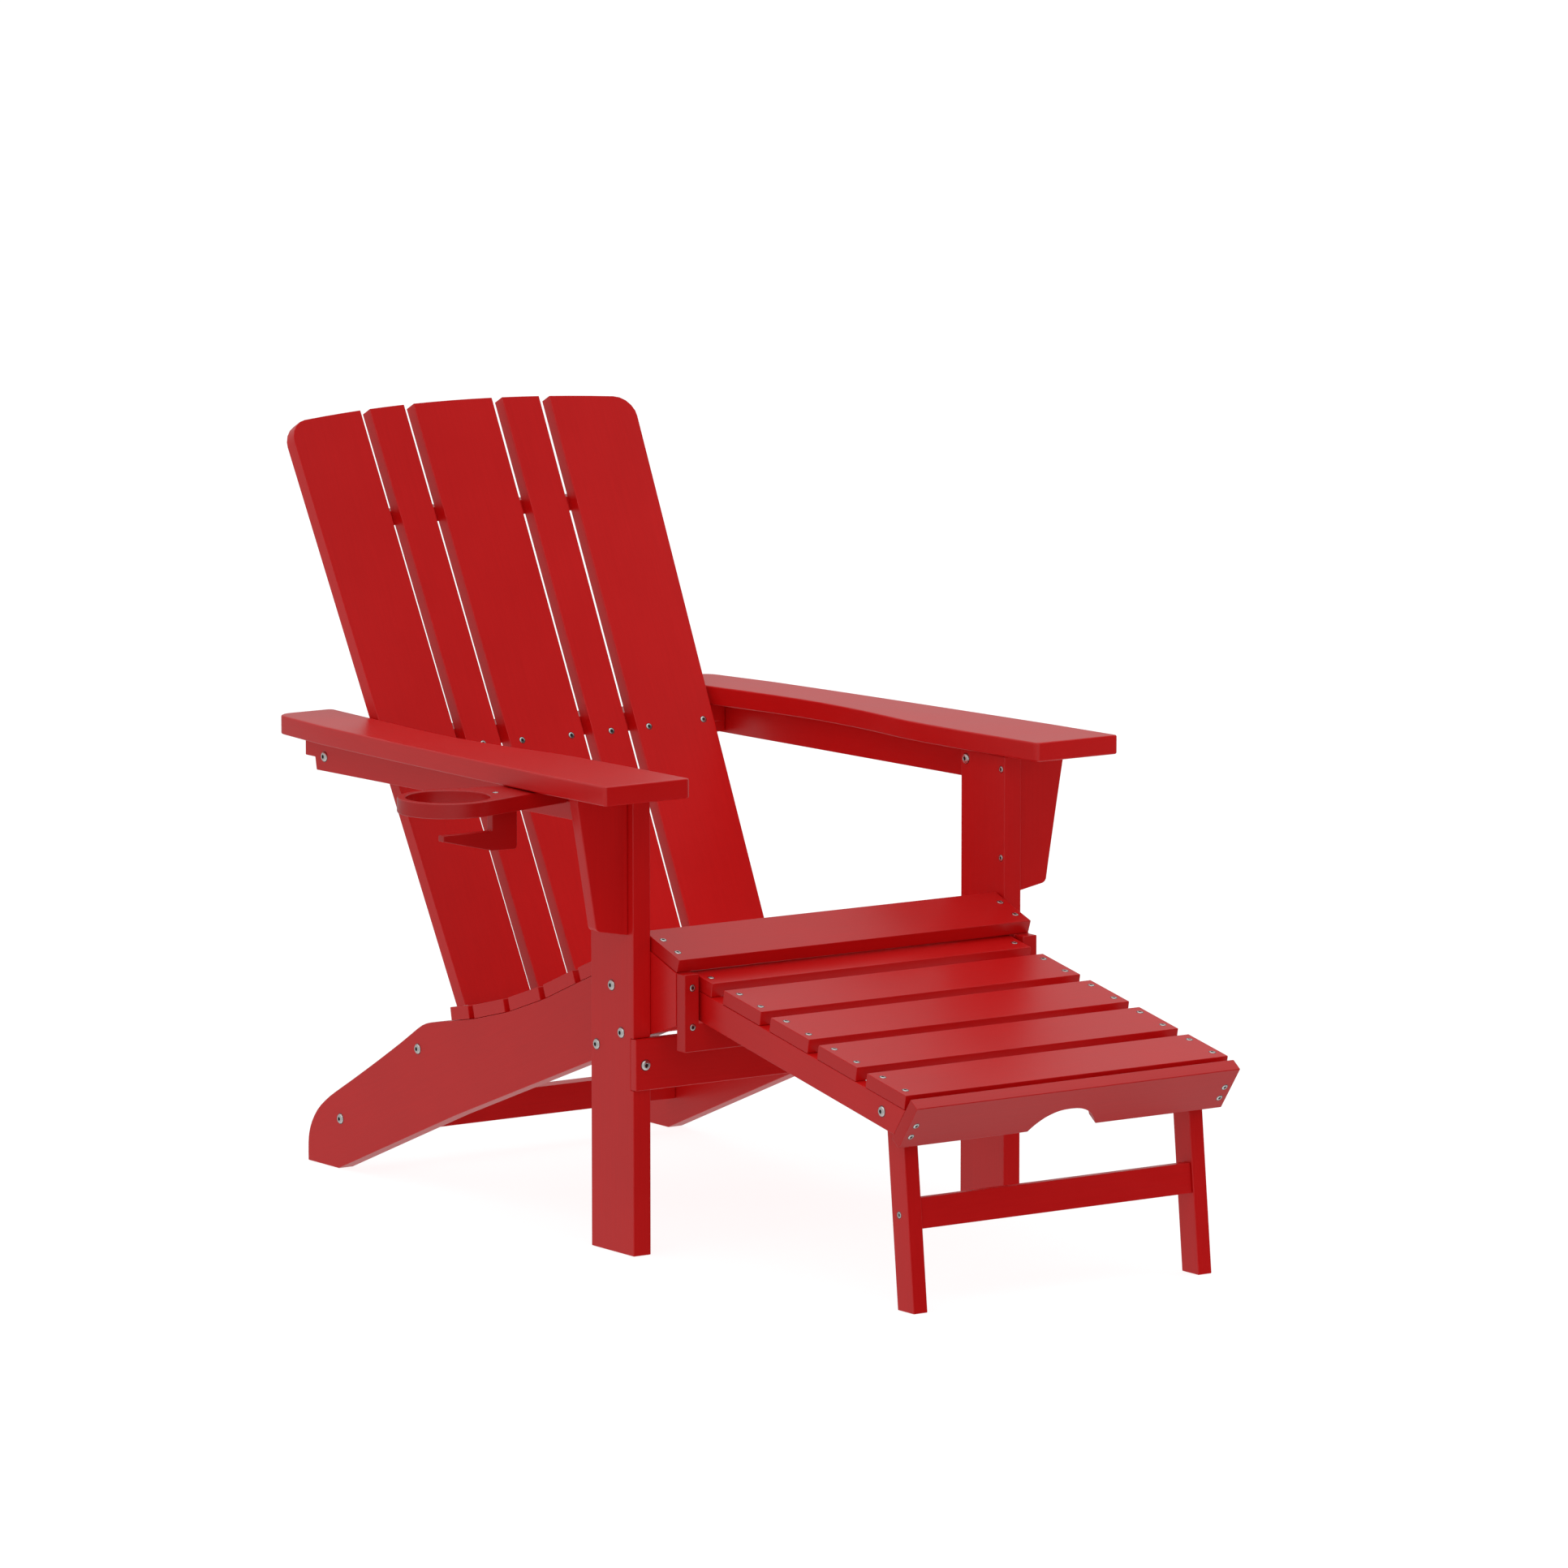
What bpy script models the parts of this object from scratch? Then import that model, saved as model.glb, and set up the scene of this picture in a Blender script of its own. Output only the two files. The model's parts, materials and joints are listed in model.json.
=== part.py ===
"""Adirondack chair of plastic lumber with a pull-out ottoman and a cup holder.

Every board, rail, leg and main bolt is its own object.  The ottoman's rails lie in
the notch of the chair's front apron: the ottoman slides along them into the seat
and tilts about the notch's front edge on the way, and its legs fold up between the
rails on two pivot bolts.

Layout axes, in inches: X across the chair (0 = centre plane), Y from the front
face of the front legs towards the back, Z up.  The objects are placed in metres,
with the origin on the floor under the middle of the whole.
"""
import math

import bmesh
import bpy
from mathutils import Matrix, Vector

# ------------------------------------------------------------------ dimensions
INCH = 0.0254
CENTRE_X = -2.8446      # middle of the whole in X, cup holder included
CENTRE_Y = 6.1918       # middle of the whole in Y, ottoman included
FLOOR = 0.17            # height at which the feet end
GAP = 0.013             # clearance between boards that bear on each other
EDGE = 0.04             # rounding of the boards' edges
ARM_EDGE, SEAT_EDGE, BACK_EDGE = 0.08, 0.03, 0.025
EDGE_STEPS = 2

LEG_INNER, LEG_OUTER = 9.763, 10.70        # front legs, X
LEG_DEPTH, LEG_TOP = 3.36, 21.04
STRETCHER_BOTTOM, STRETCHER_TOP = 7.70, 10.03
STRETCHER_FRONT, STRETCHER_REAR = -0.20, 0.22

STRINGER_INNER, STRINGER_OUTER = 8.907, 9.750
STRINGER_FRONT = -1.948
SEAT_HALF = 9.735                          # half length of the seat slats
SLAT_THICK = 0.62
SEAT_START = 1.0                           # front edge of the first slat behind the crown
SEAT_WIDTHS = (1.80, 2.40, 2.41, 2.47, 2.53, 1.48)
SEAT_GAP = 0.43
FRONT_SLAT_DEPTH = 2.91
FRONT_SLAT_PITCH = math.radians(19.4)

APRON_HALF, APRON_BOTTOM, APRON_TOP = 9.703, 9.689, 13.19
APRON_FRONT, APRON_REAR = -2.604, -1.962
NOTCH_HALF, NOTCH_Z, NOTCH_RELIEF = 8.93, 10.95, 0.33

REAR_RAIL_HALF = 8.893                     # boards between the two stringers
REAR_BOLT = (25.68, 2.55)                  # Y and Z of the bolts by the rear feet

RECLINE = math.radians(27.6)               # back slats, from vertical
BACK_Y, BACK_Z = 22.86, 20.05              # point on the slats' front, at arm height
BACK_RADIUS = 77.0                         # hollow of the back across its width
BACK_FAN = 0.0035                          # widening of the slats per inch upward
BACK_THICK = 0.70
BACK_BOTTOM, BACK_TOP, BACK_ARCH = -14.2, 17.07, 0.0079
BACK_EDGES = ((0.0, 2.08), (2.60, 4.50), (5.02, 9.155))

ARM_TOP, ARM_THICK, ARM_FALL = 21.993, 0.886, 0.0133
ARM_FRONT, ARM_REAR = -2.81, 27.3
ARM_RAIL_INNER, ARM_RAIL_OUTER = 10.713, 11.60
ARM_RAIL_FRONT, ARM_RAIL_REAR, ARM_RAIL_DROP = 1.04, 24.80, 1.482
CROSS_BOTTOM, CROSS_TOP, CROSS_FRONT, CROSS_REAR = 19.875, 20.70, 23.66, 25.62
CROSS_SHOULDER, CROSS_FOOT = 9.35, 19.38   # the ends are deeper, where the bolts enter
UPPER_BOTTOM, UPPER_TOP, UPPER_HALF, UPPER_DEPTH = 29.78, 30.42, 8.4, 0.95

CUP_X, CUP_Y = -17.51, 4.57
CUP_HOLE, CUP_RING = 1.894, 2.276
CUP_BOTTOM, CUP_TOP, CUP_ROOT = 20.32, 21.00, 0.745

OTTO_HALF = 8.778
OTTO_PITCH = math.atan(0.197)              # fall of the ottoman towards its front
OTTO_Z = 13.506                            # its top plane where it would meet Y = 0
OTTO_SLAT = 0.650
OTTO_SLATS = ((-3.424, -1.680), (-7.179, -4.316), (-10.850, -7.930),
              (-14.485, -11.580), (-18.132, -15.232))
RAIL_INNER, RAIL_OUTER, RAIL_DEPTH = 8.158, 8.778, 1.985
OTTO_APRON_HALF, OTTO_APRON_THICK = 8.80, 0.62
PIVOT_Y, PIVOT_Z = -16.36, 8.99
OTTO_LEG_INNER, OTTO_LEG_OUTER, OTTO_LEG_HALF = 7.390, 8.140, 0.60
OTTO_FOOT_Y = -17.27
FULCRUM_Y, FULCRUM_Z = -2.55, 10.93

BOLT_HEAD, BOLT_DOME, BOLT_SHANK, BOLT_BORE = 0.235, 0.11, 0.125, 0.142

RED = (0.56, 0.018, 0.022)
STEEL = (0.62, 0.61, 0.59)


# --------------------------------------------------------------------- helpers
def clear_scene():
    for item in list(bpy.data.objects):
        bpy.data.objects.remove(item, do_unlink=True)


def to_metres(point):
    x, y, z = point
    return Vector(((x - CENTRE_X) * INCH, (y - CENTRE_Y) * INCH, (z - FLOOR) * INCH))


def add_material(obj, colour, roughness, metallic):
    mat = bpy.data.materials.new(obj.name)
    mat.use_nodes = True
    shader = mat.node_tree.nodes["Principled BSDF"]
    shader.inputs["Base Color"].default_value = (*colour, 1.0)
    shader.inputs["Roughness"].default_value = roughness
    shader.inputs["Metallic"].default_value = metallic
    mat.diffuse_color = (*colour, 1.0)
    obj.data.materials.append(mat)


def empty(name, point, parent=None):
    obj = bpy.data.objects.new(name, None)
    obj.empty_display_size = 0.04
    bpy.context.collection.objects.link(obj)
    obj["world"] = list(to_metres(point))
    obj.location = to_metres(point)
    if parent:
        obj.parent = parent
        obj.location = to_metres(point) - Vector(parent["world"])
    return obj


def finish_mesh(name, bm, centre, parent, edge, steel=False):
    """Turn a bmesh in layout inches into a placed object with its origin at centre."""
    base = to_metres(centre)
    for vert in bm.verts:
        vert.co = to_metres(vert.co) - base
    bmesh.ops.recalc_face_normals(bm, faces=bm.faces)
    mesh = bpy.data.meshes.new(name)
    bm.to_mesh(mesh)
    bm.free()
    obj = bpy.data.objects.new(name, mesh)
    bpy.context.collection.objects.link(obj)
    obj.location = base
    if parent:
        obj.parent = parent
        obj.location = base - Vector(parent["world"])
    if steel:
        add_material(obj, STEEL, 0.28, 1.0)
    else:
        add_material(obj, RED, 0.45, 0.0)
    if edge:
        mod = obj.modifiers.new("edges", "BEVEL")
        mod.width = edge * INCH
        mod.segments = EDGE_STEPS
        mod.limit_method = "ANGLE"
        mod.angle_limit = math.radians(38)
        mod.use_clamp_overlap = True
    return obj


def loft(name, ring_a, ring_b, parent=None, edge=EDGE, pivot=None):
    """Solid between two rings of points with the same count."""
    bm = bmesh.new()
    low = [bm.verts.new(p) for p in ring_a]
    high = [bm.verts.new(p) for p in ring_b]
    bm.faces.new(low)
    bm.faces.new(list(reversed(high)))
    count = len(low)
    for i in range(count):
        j = (i + 1) % count
        bm.faces.new((low[i], high[i], high[j], low[j]))
    points = list(ring_a) + list(ring_b)
    centre = pivot or tuple(
        0.5 * (min(p[k] for p in points) + max(p[k] for p in points)) for k in range(3))
    return finish_mesh(name, bm, centre, parent, edge)


def side_board(name, outline, x0, x1, **kw):
    """Board with its outline in Y and Z."""
    return loft(name, [(x0, y, z) for y, z in outline], [(x1, y, z) for y, z in outline], **kw)


def cross_board(name, outline, y0, y1, **kw):
    """Board with its outline in X and Z."""
    return loft(name, [(x, y0, z) for x, z in outline], [(x, y1, z) for x, z in outline], **kw)


def rounded(corners, steps=5):
    """Outline from (a, b, radius) corners, each rounded with its own radius."""
    out = []
    count = len(corners)
    for i in range(count):
        a, b, radius = corners[i]
        if radius <= 0.0:
            out.append((a, b))
            continue
        here = Vector((a, b))
        before = (Vector(corners[i - 1][:2]) - here).normalized()
        after = (Vector(corners[(i + 1) % count][:2]) - here).normalized()
        half = 0.5 * before.angle(after)
        reach = radius / math.tan(half)
        middle = here + (before + after).normalized() * (radius / math.sin(half))
        start = here + before * reach - middle
        turn = start.angle_signed(here + after * reach - middle)
        for k in range(steps + 1):
            spot = start.copy()
            spot.rotate(Matrix.Rotation(-turn * k / steps, 2))
            out.append(tuple(middle + spot))
    return out


def curve(points, steps=4):
    """Smooth line through the given points."""
    pts = [Vector(p) for p in points]
    pts = [2 * pts[0] - pts[1]] + pts + [2 * pts[-1] - pts[-2]]
    out = []
    for i in range(1, len(pts) - 2):
        p0, p1, p2, p3 = pts[i - 1:i + 3]
        for k in range(steps):
            t = k / steps
            out.append(tuple(0.5 * (2 * p1 + (p2 - p0) * t + (2 * p0 - 5 * p1 + 4 * p2 - p3) * t * t
                                    + (3 * p1 - p0 - 3 * p2 + p3) * t ** 3)))
    out.append(tuple(pts[-2]))
    return out


def height_on(line, y):
    """Height of a smooth line at a given Y."""
    for (y0, z0), (y1, z1) in zip(line, line[1:]):
        if y0 <= y <= y1:
            return z0 + (z1 - z0) * (y - y0) / (y1 - y0)
    raise ValueError("outside the line")


def mirrored(outline, side):
    return [(side * x, y) for x, y in outline]


def bore(obj, start, end, radius=BOLT_BORE):
    """Cut a round hole along X, from start to end."""
    name = "cut_" + obj.name + "_" + str(len(obj.modifiers))
    bm = bmesh.new()
    bmesh.ops.create_cone(bm, cap_ends=True, segments=20, radius1=radius * INCH,
                          radius2=radius * INCH, depth=abs(end[0] - start[0]) * INCH)
    mesh = bpy.data.meshes.new(name)
    bm.to_mesh(mesh)
    bm.free()
    cutter = bpy.data.objects.new(name, mesh)
    bpy.context.collection.objects.link(cutter)
    middle = (0.5 * (start[0] + end[0]), start[1], start[2])
    cutter.location = to_metres(middle)
    cutter.rotation_euler = (0.0, math.pi / 2, 0.0)
    cutter.hide_render = True
    cutter.display_type = "WIRE"
    if obj.parent:
        cutter.parent = obj.parent
        cutter.location = to_metres(middle) - Vector(obj.parent["world"])
    combine(obj, cutter, "DIFFERENCE")


def combine(obj, other, operation):
    mod = obj.modifiers.new(operation.lower(), "BOOLEAN")
    mod.operation = operation
    mod.solver = "EXACT"
    mod.object = other


def add_block(obj, low, high):
    """Make a box part of the board, its corners in layout inches."""
    name = "block_" + obj.name + "_" + str(len(obj.modifiers))
    bm = bmesh.new()
    bmesh.ops.create_cube(bm, size=1.0)
    mesh = bpy.data.meshes.new(name)
    bm.to_mesh(mesh)
    bm.free()
    block = bpy.data.objects.new(name, mesh)
    bpy.context.collection.objects.link(block)
    block.location = to_metres(tuple(0.5 * (a + b) for a, b in zip(low, high)))
    block.scale = [(b - a) * INCH for a, b in zip(low, high)]
    block.hide_render = True
    block.display_type = "WIRE"
    combine(obj, block, "UNION")


def bolt(name, face_x, y, z, side, length, parent=None):
    """Domed bolt along X: its head sits on the face at face_x, its shank runs inward."""
    profile = [(BOLT_SHANK, -length), (BOLT_SHANK, 0.004), (BOLT_HEAD, 0.004), (BOLT_HEAD, 0.03)]
    for k in range(1, 4):
        angle = math.radians(30 * k)
        if k == 3:
            angle = math.radians(75)
        profile.append((BOLT_HEAD * math.cos(angle), 0.03 + (BOLT_DOME - 0.03) * math.sin(angle)))
    bm = bmesh.new()
    segments = 20
    rings = []
    for radius, out in profile:
        ring = []
        for k in range(segments):
            angle = 2 * math.pi * k / segments
            ring.append(bm.verts.new((face_x + side * out, y + radius * math.cos(angle),
                                      z + radius * math.sin(angle))))
        rings.append(ring)
    bm.faces.new(rings[0])
    bm.faces.new(rings[-1])
    for low, high in zip(rings, rings[1:]):
        for k in range(segments):
            j = (k + 1) % segments
            bm.faces.new((low[k], low[j], high[j], high[k]))
    obj = finish_mesh(name, bm, (face_x, y, z), parent, 0.0, steel=True)
    for face in obj.data.polygons:
        face.use_smooth = True
    obj.data.set_sharp_from_angle(angle=math.radians(40))
    return obj


# ---------------------------------------------------------------- chair: sides
def seat_line():
    """Top line of the stringers under the seat slats, front to back."""
    return curve([(1.0, 13.76), (2.8, 12.95), (5.62, 11.81), (8.46, 10.63), (11.4, 9.62),
                  (14.36, 8.86), (17.28, 8.32), (18.3, 8.12)])


def slat_spans():
    spans = []
    y = SEAT_START
    for width in SEAT_WIDTHS:
        spans.append((y, y + width))
        y += width + SEAT_GAP
    return spans


def stringer_outline():
    crown_y = 0.72
    crown_z = 13.2 + (crown_y - STRINGER_FRONT) * math.tan(FRONT_SLAT_PITCH)
    line = seat_line()
    stops = [y for span in slat_spans() for y in span]
    top = [(y, height_on(line, y)) for y in stops]
    tail = curve([(17.28, 8.32), (18.05, 8.17), (18.72, 7.95), (19.5, 7.50), (20.6, 6.84),
                  (22.6, 5.70), (24.7, 4.54), (26.15, 3.76), (27.0, 3.25), (27.70, 2.70),
                  (28.17, 2.10), (28.42, 1.55), (28.51, 1.00), (28.51, FLOOR)], 2)
    under = [(25.90, FLOOR), (15.97, 4.13), (4.71, 8.31), (-0.07, 10.2), (STRINGER_FRONT, 10.8)]
    front = [(STRINGER_FRONT, 13.2), (crown_y, crown_z)]
    return front + top + tail + under


def build_sides():
    leg_line = [(0.0, FLOOR), (LEG_DEPTH, FLOOR), (LEG_DEPTH, LEG_TOP), (0.0, LEG_TOP),
                (0.0, STRETCHER_TOP + GAP), (STRETCHER_REAR + GAP, STRETCHER_TOP + GAP),
                (STRETCHER_REAR + GAP, STRETCHER_BOTTOM - GAP), (0.0, STRETCHER_BOTTOM - GAP)]
    stringer_line = stringer_outline()
    for side, word in ((-1, "left"), (1, "right")):
        leg = side_board("front_leg_" + word, leg_line, side * LEG_INNER, side * LEG_OUTER)
        stringer = side_board("stringer_" + word, stringer_line,
                              side * STRINGER_INNER, side * STRINGER_OUTER)
        for number, (y, z) in enumerate(((1.71, 12.26), (2.91, 9.42), (0.95, 10.21)), 1):
            bore(leg, (side * (LEG_INNER - 0.1), y, z), (side * (LEG_OUTER + 0.1), y, z))
            bore(stringer, (side * 9.16, y, z), (side * (STRINGER_OUTER + 0.1), y, z))
            bolt("leg_bolt_" + word + "_" + str(number), side * LEG_OUTER, y, z, side, 1.50)
        for number, (y, z) in enumerate(((19.05, 6.80), REAR_BOLT), 1):
            bore(stringer, (side * (STRINGER_INNER - 0.1), y, z),
                 (side * (STRINGER_OUTER + 0.1), y, z))
            bolt("stringer_bolt_" + word + "_" + str(number), side * STRINGER_OUTER, y, z,
                 side, 1.70)
    cross_board("front_stretcher",
                [(-LEG_OUTER, STRETCHER_BOTTOM), (LEG_OUTER, STRETCHER_BOTTOM),
                 (LEG_OUTER, STRETCHER_TOP), (-LEG_OUTER, STRETCHER_TOP)],
                STRETCHER_FRONT, STRETCHER_REAR)


def build_cross_rails():
    y, z = REAR_BOLT
    rear = side_board("rear_stretcher", [(y - 0.45, z - 0.88), (y + 0.45, z - 0.88),
                                         (y + 0.45, z + 0.47), (y - 0.45, z + 0.47)],
                      -REAR_RAIL_HALF, REAR_RAIL_HALF)
    for side in (-1, 1):
        bore(rear, (side * 7.95, y, z), (side * 9.1, y, z))

    # lower back rail: a plank square to the slats, its edge against their rear
    outline = []
    for along, behind in ((-13.95, BACK_THICK + GAP), (-13.05, BACK_THICK + GAP),
                          (-13.05, 3.3), (-13.95, 3.3)):
        point = back_point(0.0, along, behind)
        outline.append((point[1], point[2]))
    lower = side_board("lower_back_rail", outline, -REAR_RAIL_HALF, REAR_RAIL_HALF)
    for side in (-1, 1):
        bore(lower, (side * 7.95, 19.05, 6.80), (side * 9.1, 19.05, 6.80))


# ------------------------------------------------------------- chair: the back
def back_point(x, along, behind=0.0):
    """Point of the back: x across, along the slats from arm height, behind their front."""
    hollow = x * x / (2 * BACK_RADIUS) - behind
    return (x, BACK_Y + along * math.sin(RECLINE) - hollow * math.cos(RECLINE),
            BACK_Z + along * math.cos(RECLINE) + hollow * math.sin(RECLINE))


def back_rear_y(x, z):
    """Y of the slats' rear face at a given width and height."""
    hollow = x * x / (2 * BACK_RADIUS) - BACK_THICK
    return (BACK_Y + (z - BACK_Z) * math.tan(RECLINE) - hollow / math.cos(RECLINE))


def slat_top(x, corner_x):
    """Arched top line of the back, with the outer corner rounded."""
    top = BACK_TOP - BACK_ARCH * x * x
    if corner_x is not None:
        inset = abs(x) - (corner_x - 1.0)
        if inset > 0.0:
            top -= 1.0 - math.sqrt(max(0.0, 1.0 - min(inset, 1.0) ** 2))
    return top


def back_slat(name, x0, x1, outer):
    """One slat of the back, hollowed across and fanned upward."""
    fan_top = 1.0 + BACK_FAN * BACK_TOP
    stops = [x0 + (x1 - x0) * k / 4 for k in range(5)]
    if outer:
        edge = max(abs(x0), abs(x1))
        side = 1 if x1 > 0 else -1
        near = min(abs(x0), abs(x1))
        stops = [side * (near + (edge - 1.0 / fan_top - near) * k / 3) for k in range(4)]
        stops += [side * (edge - (1.0 - math.sin(math.radians(18 * k))) / fan_top)
                  for k in range(1, 6)]
        stops.sort()
    corner = max(abs(x0), abs(x1)) * fan_top if outer else None
    rows = 7
    bm = bmesh.new()
    faces = []
    for behind in (0.0, BACK_THICK):
        grid = []
        for x in stops:
            top = slat_top(x * fan_top, corner)
            column = []
            for k in range(rows + 1):
                along = BACK_BOTTOM + (top - BACK_BOTTOM) * k / rows
                column.append(bm.verts.new(
                    back_point(x * (1.0 + BACK_FAN * along), along, behind)))
            grid.append(column)
        faces.append(grid)
    front, back = faces
    cols = len(stops)
    for i in range(cols - 1):
        for k in range(rows):
            for grid in faces:
                bm.faces.new((grid[i][k], grid[i + 1][k], grid[i + 1][k + 1], grid[i][k + 1]))
        bm.faces.new((front[i][0], front[i + 1][0], back[i + 1][0], back[i][0]))
        bm.faces.new((front[i][rows], front[i + 1][rows], back[i + 1][rows], back[i][rows]))
    for k in range(rows):
        for i in (0, cols - 1):
            bm.faces.new((front[i][k], front[i][k + 1], back[i][k + 1], back[i][k]))
    finish_mesh(name, bm, back_point(0.5 * (x0 + x1), 0.0), None, BACK_EDGE)


def build_back():
    (_, half), (a0, a1), (b0, b1) = BACK_EDGES
    back_slat("back_slat_centre", -half, half, False)
    back_slat("back_slat_inner_left", -a1, -a0, False)
    back_slat("back_slat_inner_right", a0, a1, False)
    back_slat("back_slat_outer_left", -b1, -b0, True)
    back_slat("back_slat_outer_right", b0, b1, True)

    # two boards lie flat behind the slats, their front edges cut to the hollow
    def hollow_edge(half, z, steps=16):
        stops = [half * (2 * k / steps - 1) for k in range(steps + 1)]
        return [(x, back_rear_y(x, z) + 1.4 * GAP, z) for x in stops]

    rings = []
    for z in (UPPER_BOTTOM, UPPER_TOP):
        front = hollow_edge(UPPER_HALF, z)
        rear = [(x, y + UPPER_DEPTH, z) for x, y, z in reversed(hollow_edge(UPPER_HALF, UPPER_TOP))]
        rings.append(front + [(x, y, z) for x, y, _ in rear])
    loft("upper_back_rail", rings[0], rings[1])

    half = ARM_RAIL_INNER - GAP
    rings = []
    for z in (CROSS_BOTTOM, CROSS_TOP):
        rings.append([(-half, CROSS_REAR, z), (-half, CROSS_FRONT, z),
                      (-CROSS_SHOULDER, CROSS_FRONT, z)] + hollow_edge(CROSS_SHOULDER, z)
                     + [(CROSS_SHOULDER, CROSS_FRONT, z), (half, CROSS_FRONT, z),
                        (half, CROSS_REAR, z)])
    board = loft("arm_cross_board", rings[0], rings[1])
    for side in (-1, 1):
        ends = sorted((side * (CROSS_SHOULDER + 0.10), side * (half - 0.02)))
        add_block(board, (ends[0], CROSS_FRONT + 0.02, CROSS_FOOT),
                  (ends[1], ARM_RAIL_REAR - 0.10, CROSS_BOTTOM + 0.30))


# ------------------------------------------------------------- chair: the seat
def build_seat():
    # front slat on the crown, sloping down to the apron
    cos, sin = math.cos(FRONT_SLAT_PITCH), math.sin(FRONT_SLAT_PITCH)
    y, z = STRINGER_FRONT - GAP * sin, 13.2 + GAP * cos
    outline = [(y, z), (y + FRONT_SLAT_DEPTH * cos, z + FRONT_SLAT_DEPTH * sin),
               (y + FRONT_SLAT_DEPTH * cos - SLAT_THICK * sin,
                z + FRONT_SLAT_DEPTH * sin + SLAT_THICK * cos),
               (y - SLAT_THICK * sin, z + SLAT_THICK * cos)]
    side_board("seat_slat_front", outline, -9.70, 9.70, edge=SEAT_EDGE)

    line = seat_line()
    for number, (y0, y1) in enumerate(slat_spans(), 1):
        low = Vector((y0, height_on(line, y0)))
        high = Vector((y1, height_on(line, y1)))
        along = (high - low).normalized()
        normal = Vector((-along.y, along.x))
        corners = [low + normal * GAP, high + normal * GAP,
                   high + normal * (GAP + SLAT_THICK), low + normal * (GAP + SLAT_THICK)]
        if number == 1:
            corners[3] += along * 0.10
        side_board("seat_slat_" + str(number), [tuple(c) for c in corners],
                   -SEAT_HALF, SEAT_HALF, edge=SEAT_EDGE)

    # U-shaped apron: the ottoman's rails run through the notch between its ears
    def ring(y, notch):
        return [(-APRON_HALF, y, APRON_BOTTOM), (APRON_HALF, y, APRON_BOTTOM),
                (APRON_HALF, y, APRON_TOP), (NOTCH_HALF, y, APRON_TOP), (NOTCH_HALF, y, notch),
                (-NOTCH_HALF, y, notch), (-NOTCH_HALF, y, APRON_TOP), (-APRON_HALF, y, APRON_TOP)]
    loft("seat_apron", ring(APRON_FRONT, NOTCH_Z), ring(APRON_REAR, NOTCH_Z - NOTCH_RELIEF))


# -------------------------------------------------------------- chair: the arms
def arm_outline():
    outer = curve([(14.0, 2.0), (13.66, 9.0), (13.2, 17.0), (12.8, 22.5)], 3)
    inner = curve([(9.4, 23.7), (9.65, 21.2), (9.95, 18.4), (10.1, 15.0), (9.93, 11.3),
                   (9.55, 8.0), (9.42, 5.5), (9.42, 2.0)], 3)
    corners = [(9.50, ARM_FRONT, 0.25), (14.1, ARM_FRONT, 0.15)]
    corners += [(x, y, 0.0) for x, y in outer]
    corners += [(12.15, ARM_REAR, 0.9), (9.05, ARM_REAR, 0.3)]
    corners += [(x, y, 0.0) for x, y in inner]
    return rounded(corners, steps=5)


def build_arms():
    outline = arm_outline()
    for side, word in ((-1, "left"), (1, "right")):
        shape = mirrored(outline, side)
        top = [(x, y, ARM_TOP - ARM_FALL * y) for x, y in shape]
        under = [(x, y, ARM_TOP - ARM_THICK - ARM_FALL * y) for x, y in shape]
        loft("arm_" + word, under, top, edge=ARM_EDGE)

        def rail_top(y):
            return ARM_TOP - ARM_THICK - GAP - ARM_FALL * y
        rail = [(ARM_RAIL_FRONT, rail_top(ARM_RAIL_FRONT) - ARM_RAIL_DROP),
                (ARM_RAIL_REAR - 0.12, rail_top(ARM_RAIL_REAR) - ARM_RAIL_DROP),
                (ARM_RAIL_REAR, CROSS_BOTTOM), (CROSS_REAR, CROSS_BOTTOM),
                (CROSS_REAR, rail_top(CROSS_REAR)), (ARM_RAIL_FRONT, rail_top(ARM_RAIL_FRONT))]
        side_board("arm_rail_" + word, rail, side * ARM_RAIL_INNER, side * ARM_RAIL_OUTER)

        bracket = rounded([(LEG_OUTER + GAP, 21.05, 0.0), (LEG_OUTER + GAP, 14.68, 0.0),
                           (12.42, 14.99, 0.3), (12.58, 16.0, 0.0), (12.82, 17.4, 0.0),
                           (13.05, 18.75, 0.0), (13.40, 20.72, 0.0), (13.40, 21.05, 0.0)])
        cross_board("arm_bracket_" + word, mirrored(bracket, side), 0.40, 1.02)


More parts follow.
